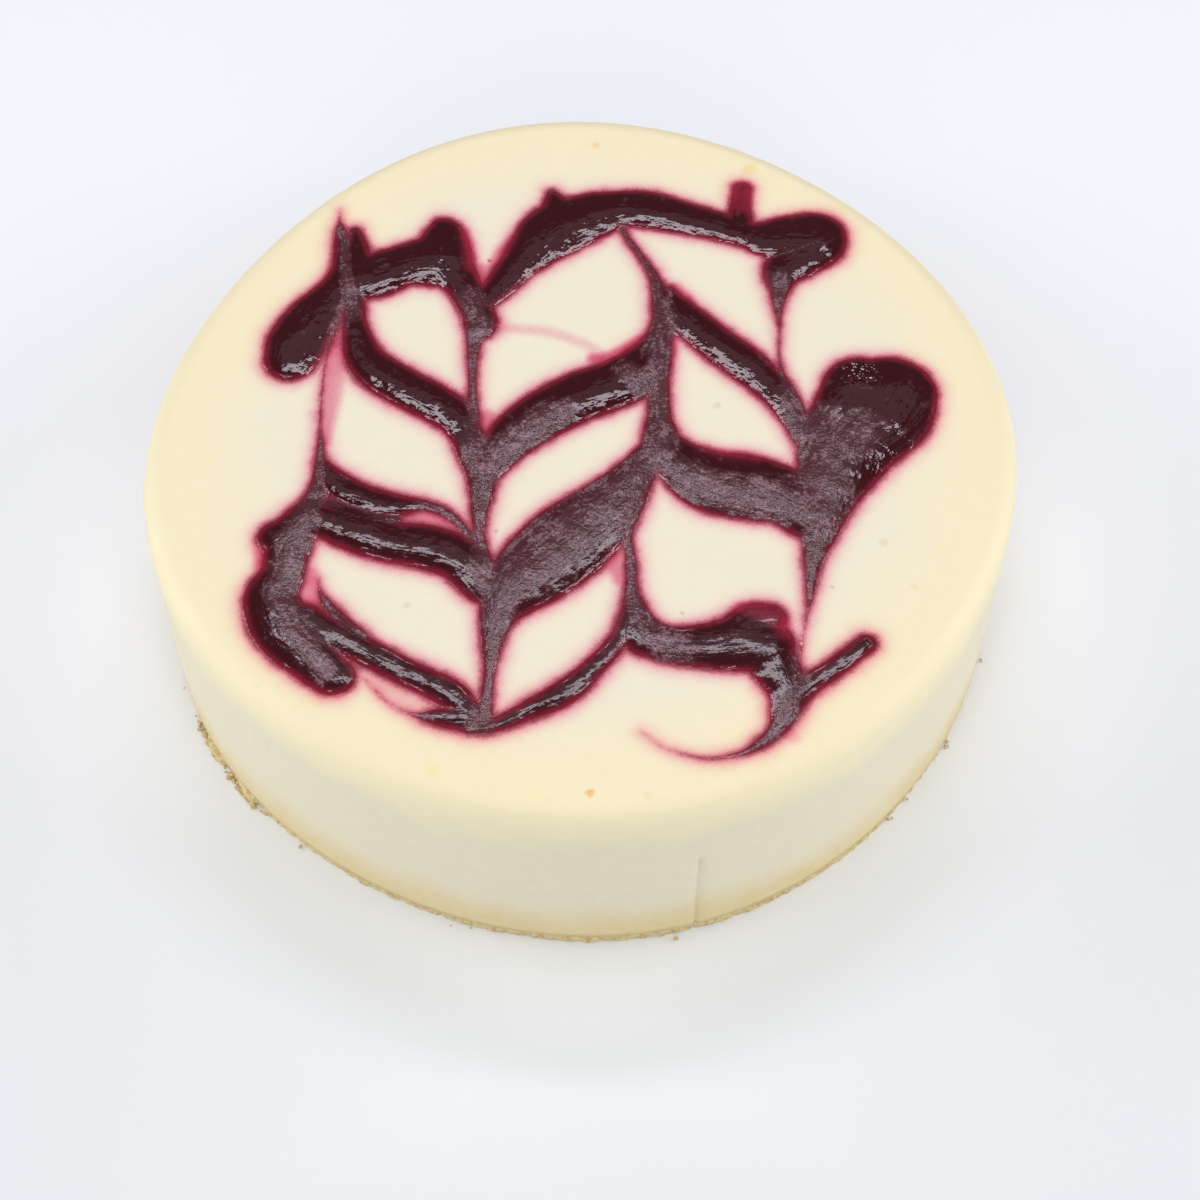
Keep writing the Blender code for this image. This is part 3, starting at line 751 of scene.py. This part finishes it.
def stain_group():
    """The filling's colour where the jam's juice and thin edge lie on it, by the distance outside the jam."""
    tree = bpy.data.node_groups.new("jam_stain", "ShaderNodeTree")
    for name, kind in (("Filling", "Color"), ("Jam", "Color"), ("Distance", "Float"), ("Wash", "Float")):
        tree.interface.new_socket(name, in_out="INPUT", socket_type="NodeSocket" + kind)
    tree.interface.new_socket("Colour", in_out="OUTPUT", socket_type="NodeSocketColor")
    given = tree.nodes.new("NodeGroupInput").outputs
    made = tree.nodes.new("NodeGroupOutput")
    speckle = math(tree, "SUBTRACT", grain(tree, JUICE_GRAIN, roughness=0.7), 0.5)
    distance = math(tree, "SUBTRACT", given["Distance"], JUICE_SPREAD)
    wander = from_middle(tree, grain(tree, JUICE_STRAYS, detail=2.0), JUICE_WANDERS)
    distance = math(tree, "ADD", distance, wander)
    near_edge = math(tree, "ADD", distance, math(tree, "MULTIPLY", speckle, JUICE_SPECKLES))
    fading = math(tree, "EXPONENT", math(tree, "MULTIPLY", near_edge, -1 / JUICE_REACH))
    uneven = math(tree, "ADD", math(tree, "MULTIPLY", speckle, WASH_SPECKLES), 1.0)
    wash = math(tree, "MULTIPLY", given["Wash"], uneven)
    juice = math(tree, "ADD", math(tree, "MULTIPLY", fading, JUICE_AT_EDGE), wash)
    juice = math(tree, "MINIMUM", juice, JUICE_MOST)
    tint = add_node(tree, "ShaderNodeCombineColor")
    for channel, taken in enumerate(JUICE_TAKES):
        tree.links.new(math(tree, "EXPONENT", math(tree, "MULTIPLY", juice, -taken)), tint.inputs[channel])
    tinted = blend(tree, 1.0, given["Filling"], tint.outputs["Color"], "MULTIPLY")
    ragged = math(tree, "ADD", distance, math(tree, "MULTIPLY", speckle, EDGE_STRAYS))
    jam = math(tree, "ADD", ramp(tree, ragged, *THIN_EDGE), ramp(tree, ragged, *THICK_EDGE))
    held_back = math(tree, "MULTIPLY", given["Wash"], WASH_HOLDS_BACK)
    jam = math(tree, "SUBTRACT", jam, held_back, clamp=True)
    tree.links.new(blend(tree, jam, tinted, given["Jam"]), made.inputs["Colour"])
    return tree


def stained(tree, colour, jam):
    """A colour of the filling, stained as far as the mesh's own values say."""
    group = bpy.data.node_groups.get("jam_stain") or stain_group()
    node = add_node(tree, "ShaderNodeGroup", node_tree=group)
    plug(tree, as_colour(colour), node.inputs["Filling"])
    plug(tree, as_colour(jam), node.inputs["Jam"])
    tree.links.new(attribute_value(tree, "swirl_distance"), node.inputs["Distance"])
    tree.links.new(attribute_value(tree, "juice_wash"), node.inputs["Wash"])
    return node.outputs["Colour"]


def filling_material(filling, swirl):
    material, tree, shader = new_material("cream_filling", 0.55)
    fine = grain(tree, CREAM_GRAIN, detail=4.0, roughness=0.6)
    run = attribute_value(tree, "rim_run")
    run = math(tree, "ADD", run, from_middle(tree, grain(tree, CREAM_PATCHES), RUN_STRAYS))
    colour = blend(tree, ramp(tree, run, *RIM_YELLOWS), filling.top_colour, filling.rim_colour)
    colour = blend(tree, ramp(tree, run, *SIDE_PALES), colour, filling.side_colour)
    colour = blend(tree, ramp(tree, run, *FOOT_YELLOWS), colour, filling.foot_colour)
    flecks = math(tree, "MULTIPLY", ramp(tree, fine, 0.35, 0.7), 0.10)
    colour = blend(tree, flecks, colour, PALE_FLECKS)
    for x, y, radius, tint, strength in MARKS:
        mark = math(tree, "MULTIPLY", soft_spot(tree, x, y, radius), strength)
        colour = blend(tree, mark, colour, tint)
    tree.links.new(stained(tree, colour, swirl.deep_colour), shader.inputs["Base Color"])
    normal = bump(tree, grain(tree, CREAM_WAVES, detail=4.0, roughness=0.55), CREAM_WAVE_DEPTH, 0.5)
    tree.links.new(bump(tree, fine, CREAM_GRAIN_DEPTH, 0.5, normal), shader.inputs["Normal"])
    return material


def jam_material(filling, swirl):
    material, tree, shader = new_material("fruit_swirl", GLOSS[0])
    shader.inputs["IOR"].default_value = 1.42
    outside = attribute_value(tree, "swirl_distance")
    thickness = attribute_value(tree, "jam_thickness")
    flow = add_node(tree, "ShaderNodeAttribute", attribute_type="GEOMETRY", attribute_name="jam_flow")
    stretched = add_node(tree, "ShaderNodeVectorMath", operation="MULTIPLY")
    tree.links.new(flow.outputs["Vector"], stretched.inputs[0])
    stretched.inputs[1].default_value = STREAK_STRETCH
    streaks = grain(tree, JAM_STREAKS, detail=1.7, vector=stretched.outputs["Vector"])
    coarse = grain(tree, JAM_COARSE, detail=2.0)
    grit = grain(tree, JAM_GRIT, detail=2.5, roughness=0.6)
    patches = math(tree, "SUBTRACT", grain(tree, JAM_PATCHES, detail=4.0, roughness=0.6), 0.5)
    uneven = math(tree, "SUBTRACT", coarse, 0.5)
    inside = math(tree, "SUBTRACT", math(tree, "MULTIPLY", uneven, 0.0010), outside)

    # Dragged jam is grainy, except at its very edge and in the finest lines.
    drag = math(tree, "MAXIMUM", attribute_value(tree, "jam_dragged"), ramp(tree, thickness, 0.75, 0.25))
    drag = math(tree, "ADD", drag, math(tree, "MULTIPLY", math(tree, "ADD", uneven, patches), 0.9))
    drag = math(tree, "ADD", drag, from_middle(tree, streaks, 0.7))
    drag = math(tree, "MULTIPLY", ramp(tree, drag, 0.1, 0.85), ramp(tree, inside, 0.0, 0.0012))
    drag = math(tree, "MULTIPLY", drag, ramp(tree, thickness, 0.08, 0.22, 0.2, 1.0))
    # The pale grains are partly filling dragged into the jam and partly a painted sheen of light on its wet
    # grain.
    pale_grit_and_sheen = math(tree, "ADD", grit, math(tree, "MULTIPLY", patches, 0.9))
    pale_grit_and_sheen = math(tree, "ADD", pale_grit_and_sheen, from_middle(tree, streaks, 0.6))
    pale_grit_and_sheen = math(tree, "MULTIPLY", drag, ramp(tree, pale_grit_and_sheen, 0.48, 0.74))
    # Painted highlight: fine glints painted into the jam's colour as bright specks within one spot.
    painted_glint = ramp(tree, grain(tree, PAINTED_GLINT_GRAIN, detail=1.0), 0.64, 0.69)
    painted_glint = math(tree, "MULTIPLY", painted_glint, soft_spot(tree, *PAINTED_GLINT_SPOT))
    colour = stained(tree, filling.top_colour, swirl.deep_colour)
    colour = blend(tree, math(tree, "MULTIPLY", drag, 0.65), colour, swirl.drag_colour)
    colour = blend(tree, pale_grit_and_sheen, colour, swirl.grit_and_sheen_colour)
    tree.links.new(blend(tree, painted_glint, colour, PAINTED_GLINT_COLOUR), shader.inputs["Base Color"])
    gloss = ramp(tree, upright_y(tree), *GLOSS_PLACES, *GLOSS)
    tree.links.new(ramp(tree, drag, 0.0, 1.0, gloss, DRAGGED_ROUGHNESS), shader.inputs["Roughness"])

    # The relief is made of streaks along the strokes, lumps, a faint lip inside the edge, and grit.
    freely = ramp(tree, drag, 0.0, 1.0, 0.8, 1.0)
    freely = math(tree, "MULTIPLY", attribute_value(tree, "jam_streaked"), freely)
    normal = bump(tree, streaks, STREAK_DEPTH, freely)
    normal = bump(tree, coarse, COARSE_DEPTH, 0.8, normal)
    lip = math(tree, "ABSOLUTE", math(tree, "SUBTRACT", inside, LIP_INSIDE))
    lip_strength = ramp(tree, patches, -0.05, 0.15, 0.0, 0.7)
    normal = bump(tree, ramp(tree, lip, 0.0004, 0.0), LIP_DEPTH, lip_strength, normal)
    normal = bump(tree, grit, GRIT_DEPTH, ramp(tree, drag, 0.0, 1.0, 0.05, 1.0), normal)
    tree.links.new(normal, shader.inputs["Normal"])
    return material


def biscuit_material(base):
    material, tree, shader = new_material("biscuit_base", 0.8)
    speck = grain(tree, BISCUIT_GRAIN, roughness=0.65)
    colour = blend(tree, ramp(tree, speck, 0.42, 0.68), base.light_colour, base.dark_colour)
    tree.links.new(colour, shader.inputs["Base Color"])
    tree.links.new(bump(tree, speck, BISCUIT_DEPTH, 0.8), shader.inputs["Normal"])
    return material


def floor_material(studio):
    material, tree, shader = new_material("pale_table", 0.6)
    # Painted shade: the table darkens towards the front, with the edge of the shade made uneven by slow
    # noise.
    uneven = from_middle(tree, grain(tree, TABLE_CLOUDS, detail=2.0), 0.1)
    forward = math(tree, "SUBTRACT", uneven, upright_y(tree))
    painted_shade_colour = [TABLE_PAINTED_SHADE * channel for channel in studio.floor_colour]
    colour = blend(tree, ramp(tree, forward, *TABLE_PAINTED_SHADE_SPAN), studio.floor_colour, painted_shade_colour)
    tree.links.new(colour, shader.inputs["Base Color"])
    return material


def filling_profile(filling):
    """The filling's half section from the middle of its top down to its foot, as points of radius, height
    and the way gone since the rim started."""
    radius, top, round_off = CAKE_RADIUS, filling.height, filling.rim_radius
    flat = radius - round_off
    profile = []
    for ring in range(TOP_RINGS):
        share = (ring + 0.5) / TOP_RINGS
        profile.append((flat * (ring + 0.5) / TOP_RINGS, top, flat * (share - 1)))
    for step in range(RIM_STEPS + 1):
        turn = 0.5 * pi * step / RIM_STEPS
        profile.append((flat + round_off * sin(turn), top - round_off * (1 - cos(turn)), round_off * turn))
    side = top - round_off - FILLING_LOW.z
    for step in range(1, SIDE_STEPS + 1):
        drop = side * step / SIDE_STEPS
        profile.append((radius, top - round_off - drop, 0.5 * pi * round_off + drop))
    return profile


class CHEESECAKE_OT_filling(bpy.types.Operator):
    """Build the filling, spun from its half section"""

    bl_idname = "cheesecake.filling"
    bl_label = "Filling"

    def execute(self, context):
        filling, swirl = context.scene.cheesecake_filling, context.scene.cheesecake_swirl
        profile = filling_profile(filling)
        bm, radii = turned(profile, FILLING_TURNS, FILLING_CUTS)
        around = FILLING_TURNS * (FILLING_CUTS + 1)
        seam_column = round(SEAM_ANGLE * around / tau)
        half = SEAM_HALF_WIDTH / CAKE_RADIUS
        drawn = {
            seam_column - 1: SEAM_ANGLE - half,
            seam_column: SEAM_ANGLE,
            seam_column + 1: SEAM_ANGLE + half,
        }
        for vert in bm.verts:
            x, y, z = vert.co
            column = round(even_angle(x, y, FILLING_TURNS) * around / tau) % around
            angle = drawn.get(column, tau * column / around)
            radius = vert[radii]
            share = radius / CAKE_RADIUS
            lean = -FOOT_TAPER * (1 - min(z / (filling.height - filling.rim_radius), 1.0))
            radius += share * (outline_growth(angle) + lean)
            if angle == SEAM_ANGLE and z < SEAM_TOP:
                radius -= SEAM_DEPTH
            x, y = radius * cos(angle), radius * sin(angle)
            if z > filling.height - filling.rim_radius:
                z += swell_at(x, y, filling.swell)
            vert.co = (x + MIDDLE.x, y + MIDDLE.y, z)
        piece = finish_piece(
            "cheesecake_filling", bm, filling_material(filling, swirl), "cheesecake"
        )
        places = np.array([vertex.co.xy for vertex in piece.data.vertices])
        heights = np.array([vertex.co.z for vertex in piece.data.vertices])
        below = heights < filling.height - filling.rim_radius
        stain = swirl_at(places, swirl.rise)[2]
        stain[below] = FAR_OUT
        wash = wash_at(places)
        wash[below] = 0.0
        write_values(piece.data, "swirl_distance", stain)
        write_values(piece.data, "juice_wash", wash)
        return {"FINISHED"}


class CHEESECAKE_OT_swirl(bpy.types.Operator):
    """Build the feathered jam as one thin closed sheet, let into the top"""

    bl_idname = "cheesecake.swirl"
    bl_label = "Fruit swirl"

    def execute(self, context):
        filling, swirl = context.scene.cheesecake_filling, context.scene.cheesecake_swirl
        cells = round(2 * SWIRL_REACH / swirl.cell)
        bm = bmesh.new()
        bmesh.ops.create_grid(bm, x_segments=cells, y_segments=cells, size=SWIRL_REACH)
        middles = np.array([face.calc_center_median().xy for face in bm.faces])
        outside = swirl_at(middles, swirl.rise)[0]
        empty = [face for face, distance in zip(bm.faces, outside) if distance > 0]
        bmesh.ops.delete(bm, geom=empty, context="FACES")
        self.part_touching_corners(bm)
        self.draw_to_edge(bm, swirl)
        made = bmesh.ops.extrude_face_region(bm, geom=list(bm.faces))["geom"]
        lowered = {item for item in made if isinstance(item, bmesh.types.BMVert)}
        places = np.array([vert.co.xy for vert in bm.verts])
        outside, height, stain, thickness, dragged, streaked, flow = swirl_at(places, swirl.rise)
        for vert, rise, distance in zip(bm.verts, height, outside):
            x, y = vert.co.xy
            floor = filling.height + swell_at(x - MIDDLE.x, y - MIDDLE.y, filling.swell)
            if vert in lowered:
                vert.co.z = floor - swirl.sink
            else:
                inner = min(1.0, max(0.0, -distance / LUMPS_START))
                vert.co.z = floor - EDGE_SINKS + rise + waves_at(x, y, JAM_LUMPS) * inner
        piece = finish_piece("fruit_swirl", bm, jam_material(filling, swirl), "cheesecake")
        write_values(piece.data, "swirl_distance", stain)
        write_values(piece.data, "jam_thickness", thickness)
        write_values(piece.data, "jam_dragged", dragged)
        write_values(piece.data, "jam_streaked", streaked)
        write_values(piece.data, "juice_wash", wash_at(places))
        attribute = piece.data.attributes.new("jam_flow", "FLOAT_VECTOR", "POINT")
        attribute.data.foreach_set("vector", flow.astype(np.float32).ravel())
        return {"FINISHED"}

    def part_touching_corners(self, bm):
        """Takes away a cell where two cells touch at a corner alone, until none do."""
        while True:
            touching = [vert for vert in bm.verts if sum(edge.is_boundary for edge in vert.link_edges) > 2]
            if not touching:
                return
            bmesh.ops.delete(bm, geom=list({vert.link_faces[0] for vert in touching}), context="FACES")

    def draw_to_edge(self, bm, swirl):
        """Moves the points along the sheet's border onto the strokes' own edge."""
        border = [vert for vert in bm.verts if vert.is_boundary]
        limit = MOST_MOVE * swirl.cell
        for _ in range(2):
            places = np.array([vert.co.xy for vert in border])
            here = swirl_at(places, swirl.rise)[0]
            slope_x = (swirl_at(places + (SLOPE_STEP, 0), swirl.rise)[0] - here) / SLOPE_STEP
            slope_y = (swirl_at(places + (0, SLOPE_STEP), swirl.rise)[0] - here) / SLOPE_STEP
            moves = np.clip(-here / np.maximum(slope_x**2 + slope_y**2, LEAST_SLOPE), -limit, limit)
            for vert, move, dx, dy in zip(border, moves, slope_x, slope_y):
                vert.co.x += move * dx
                vert.co.y += move * dy


class CHEESECAKE_OT_base(bpy.types.Operator):
    """Build the thin biscuit base with its crumbly edge"""

    bl_idname = "cheesecake.base"
    bl_label = "Biscuit base"

    def execute(self, context):
        base = context.scene.cheesecake_base
        step = base.height / (len(BASE_INSETS) - 1)
        profile = [(CAKE_RADIUS - inset, step * level, 0.0) for level, inset in enumerate(BASE_INSETS)]
        bm, radii = turned(profile, BASE_TURNS, BASE_CUTS)
        for vert in bm.verts:
            angle = even_angle(vert.co.x, vert.co.y, BASE_TURNS)
            place = Vector((vert[radii] * cos(angle), vert[radii] * sin(angle), vert.co.z))
            radius = vert[radii] + outline_growth(angle) - FOOT_TAPER
            rough = noise.noise(place * BASE_CRAGS) + 0.6 * noise.noise(place * BASE_GRAINS)
            radius += base.crag_depth * (rough - CRAGS_SINK)
            for centre, reach, half, _ in BASE_CLUMPS:
                along = (angle - centre) * CAKE_RADIUS / half
                radius += reach * max(0.0, 1 - along * along)
            vert.co = (radius * cos(angle) + MIDDLE.x, radius * sin(angle) + MIDDLE.y, place.z)
        finish_piece("biscuit_base_crumbly", bm, biscuit_material(base), "biscuit_base")
        return {"FINISHED"}


class CHEESECAKE_OT_crumbs(bpy.types.Operator):
    """Scatter the crumbs that fell from the base along its foot"""

    bl_idname = "cheesecake.crumbs"
    bl_label = "Crumbs"

    def execute(self, context):
        base = context.scene.cheesecake_base
        draw = np.random.default_rng(7)
        bm = bmesh.new()
        for number in range(base.crumbs):
            centre, _, _, spread = BASE_CLUMPS[0] if number % 5 < 2 else BASE_CLUMPS[1]
            angle = centre + spread * draw.normal() if number % 5 < 4 else tau * draw.random()
            size = LEAST_CRUMB + CRUMB_GROWTH * draw.random() ** 2
            radius = CAKE_RADIUS + outline_growth(angle) - FOOT_TAPER + CRUMB_DRIFT * draw.random()
            made = bmesh.ops.create_icosphere(bm, subdivisions=1, radius=size)["verts"]
            turn = Matrix.Rotation(tau * draw.random(), 3, Vector(draw.normal(size=3)).normalized())
            bmesh.ops.scale(bm, vec=(1.0, 0.6 + 0.4 * draw.random(), 0.6 + 0.3 * draw.random()), verts=made)
            bmesh.ops.rotate(bm, cent=(0, 0, 0), matrix=turn, verts=made)
            for vert in made:
                vert.co *= 1 + 0.5 * noise.noise(vert.co / size + Vector((number, 0.0, 0.0)))
            lowest = min(vert.co.z for vert in made)
            place = (radius * cos(angle) + MIDDLE.x, radius * sin(angle) + MIDDLE.y, -lowest)
            bmesh.ops.translate(bm, vec=place, verts=made)
        finish_piece("biscuit_crumbs", bm, biscuit_material(base), "biscuit_base")
        return {"FINISHED"}


class CHEESECAKE_OT_studio(bpy.types.Operator):
    """Set the pale table, the soft lights and the camera"""

    bl_idname = "cheesecake.studio"
    bl_label = "Studio"

    def execute(self, context):
        scene, studio = context.scene, context.scene.cheesecake_studio
        bm = bmesh.new()
        bmesh.ops.create_grid(bm, x_segments=1, y_segments=1, size=TABLE_REACH)
        mesh = bpy.data.meshes.new("table")
        bm.to_mesh(mesh)
        bm.free()
        mesh.materials.append(floor_material(studio))
        table = bpy.data.objects.new("table", mesh)
        scene.collection.objects.link(table)
        for name, place, size, power, colour in LIGHTS:
            self.add_light(scene, name, place, size, getattr(studio, power), colour)
        world = bpy.data.worlds.new("room")
        world.use_nodes = True
        background = world.node_tree.nodes["Background"]
        background.inputs["Color"].default_value = as_colour(ROOM_COLOUR)
        background.inputs["Strength"].default_value = studio.surround
        scene.world = world
        scene.view_settings.view_transform = "Standard"
        camera = bpy.data.objects.new("camera", bpy.data.cameras.new("camera"))
        camera.data.lens = studio.lens
        camera.data.sensor_width = SENSOR_WIDTH
        back = Vector((0.0, -cos(studio.elevation), sin(studio.elevation)))
        camera.location = CAMERA_AIM + studio.distance * back
        camera.rotation_euler = (0.5 * pi - studio.elevation, 0.0, 0.0)
        scene.collection.objects.link(camera)
        scene.camera = camera
        return {"FINISHED"}

    def add_light(self, scene, name, place, size, power, colour):
        lamp = bpy.data.lights.new(name, "AREA")
        lamp.shape = "RECTANGLE"
        lamp.size, lamp.size_y = size
        lamp.energy = power
        lamp.color = colour
        light = bpy.data.objects.new(name, lamp)
        light.location = place
        light.rotation_euler = (-Vector(place)).to_track_quat("-Z", "Y").to_euler()
        light.visible_camera = False
        scene.collection.objects.link(light)


class VIEW3D_PT_cheesecake(bpy.types.Panel):
    bl_label = "Baked Cheesecake"
    bl_space_type = "VIEW_3D"
    bl_region_type = "UI"
    bl_category = "Cheesecake"

    def draw(self, context):
        layout, scene = self.layout, context.scene
        for settings in (
            scene.cheesecake_filling, scene.cheesecake_swirl, scene.cheesecake_base, scene.cheesecake_studio,
        ):
            box = layout.box()
            for name in type(settings).__annotations__:
                box.prop(settings, name)
        for operator in OPERATORS:
            layout.operator(operator.bl_idname)


SETTINGS = {
    "cheesecake_filling": FillingSettings,
    "cheesecake_swirl": SwirlSettings,
    "cheesecake_base": BaseSettings,
    "cheesecake_studio": StudioSettings,
}
OPERATORS = (
    CHEESECAKE_OT_filling,
    CHEESECAKE_OT_swirl,
    CHEESECAKE_OT_base,
    CHEESECAKE_OT_crumbs,
    CHEESECAKE_OT_studio,
)
CLASSES = (*SETTINGS.values(), *OPERATORS, VIEW3D_PT_cheesecake)


def register():
    for cls in CLASSES:
        bpy.utils.register_class(cls)
    for name, settings in SETTINGS.items():
        setattr(bpy.types.Scene, name, PointerProperty(type=settings))


def unregister():
    for name in SETTINGS:
        delattr(bpy.types.Scene, name)
    for cls in reversed(CLASSES):
        bpy.utils.unregister_class(cls)


def main():
    register()
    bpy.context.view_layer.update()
    bpy.ops.cheesecake.filling()
    bpy.ops.cheesecake.swirl()
    bpy.ops.cheesecake.base()
    bpy.ops.cheesecake.crumbs()
    bpy.ops.cheesecake.studio()


if __name__ == "__main__":
    main()
